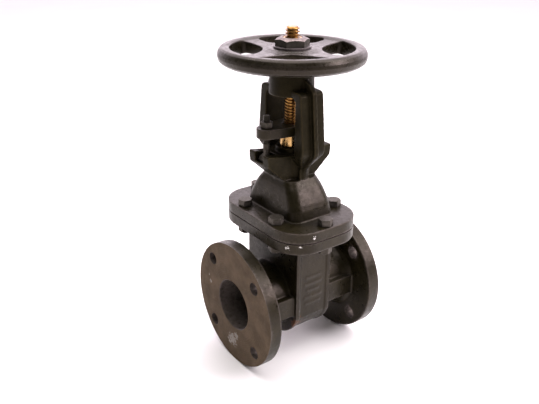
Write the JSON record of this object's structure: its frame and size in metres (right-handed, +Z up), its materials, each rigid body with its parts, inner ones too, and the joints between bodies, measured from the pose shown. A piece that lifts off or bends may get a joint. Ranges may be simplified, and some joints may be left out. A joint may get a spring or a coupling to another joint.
{
  "type": "flanged gate valve",
  "caption": "Flanged outside-screw-and-yoke gate valve with handwheel, rising stem, gland, bolted bonnet and wedge gate.",
  "frame": {"origin": "where the pipe axis crosses the stem axis, with the gate shut", "axes": "+X along the pipe from inlet to outlet, +Z up the stem to the handwheel, +Y across the yoke from leg to leg"},
  "size_m": [0.2032, 0.2006, 0.4883],
  "materials": {
    "cast_iron": "dark asphalt-varnished cast iron, olive-black to taupe, worn lighter on edges",
    "wheel_iron": "dark painted iron, semi-gloss, worn grey on the crest",
    "bolt_steel": "blackened steel fasteners, dull",
    "bronze": "machined golden bronze, semi-polished",
    "packing": "dull black graphited braid",
    "gasket_fibre": "dull brown-grey fibre sheet"
  },
  "bodies": {
    "valve_body": {"body": "cast_iron", "seat_ring_inlet": "bronze", "seat_ring_outlet": "bronze", "bonnet": "cast_iron", "bonnet_gasket": "gasket_fibre", "backseat_bushing": "bronze", "packing_ring_1": "packing", "packing_ring_2": "packing", "packing_ring_3": "packing", "packing_ring_4": "packing", "packing_ring_5": "packing", "gland_follower": "bronze", "gland_flange": "cast_iron", "gland_eye_bolt_inlet": "bolt_steel", "gland_eye_bolt_outlet": "bolt_steel", "gland_hinge_pin_inlet": "bolt_steel", "gland_hinge_pin_outlet": "bolt_steel", "gland_nut_inlet": "bolt_steel", "gland_nut_outlet": "bolt_steel", "bonnet_bolt_1": "bolt_steel", "bonnet_bolt_2": "bolt_steel", "bonnet_bolt_3": "bolt_steel", "bonnet_bolt_4": "bolt_steel", "bonnet_bolt_5": "bolt_steel", "bonnet_bolt_6": "bolt_steel", "bonnet_nut_1": "bolt_steel", "bonnet_nut_2": "bolt_steel", "bonnet_nut_3": "bolt_steel", "bonnet_nut_4": "bolt_steel", "bonnet_nut_5": "bolt_steel", "bonnet_nut_6": "bolt_steel", "lower_thrust_washer": "bronze", "upper_thrust_washer": "bronze"},
    "handwheel_group": {"handwheel": "wheel_iron", "handwheel_key": "bolt_steel", "handwheel_washer": "wheel_iron", "handwheel_nut": "wheel_iron", "yoke_sleeve": "bronze"},
    "stem_group": {"stem": "bronze", "gate_wedge": "cast_iron", "wedge_ring_inlet": "bronze", "wedge_ring_outlet": "bronze"}
  },
  "joints": [
    {"name": "handwheel_turn", "type": "hinge", "parent": "valve_body", "child": "handwheel_group", "pos_m": [0, 0, 0.3472], "axis": [0, 0, 1], "range_deg": [0, 6803]},
    {"name": "stem_lift", "type": "slide", "parent": "valve_body", "child": "stem_group", "axis": [0, 0, 1], "range_m": [0, 0.0801]}
  ],
  "couplings": [
    {"joint": "stem_lift", "follows": "handwheel_turn", "m_per_rad": 0.00067376}
  ]
}
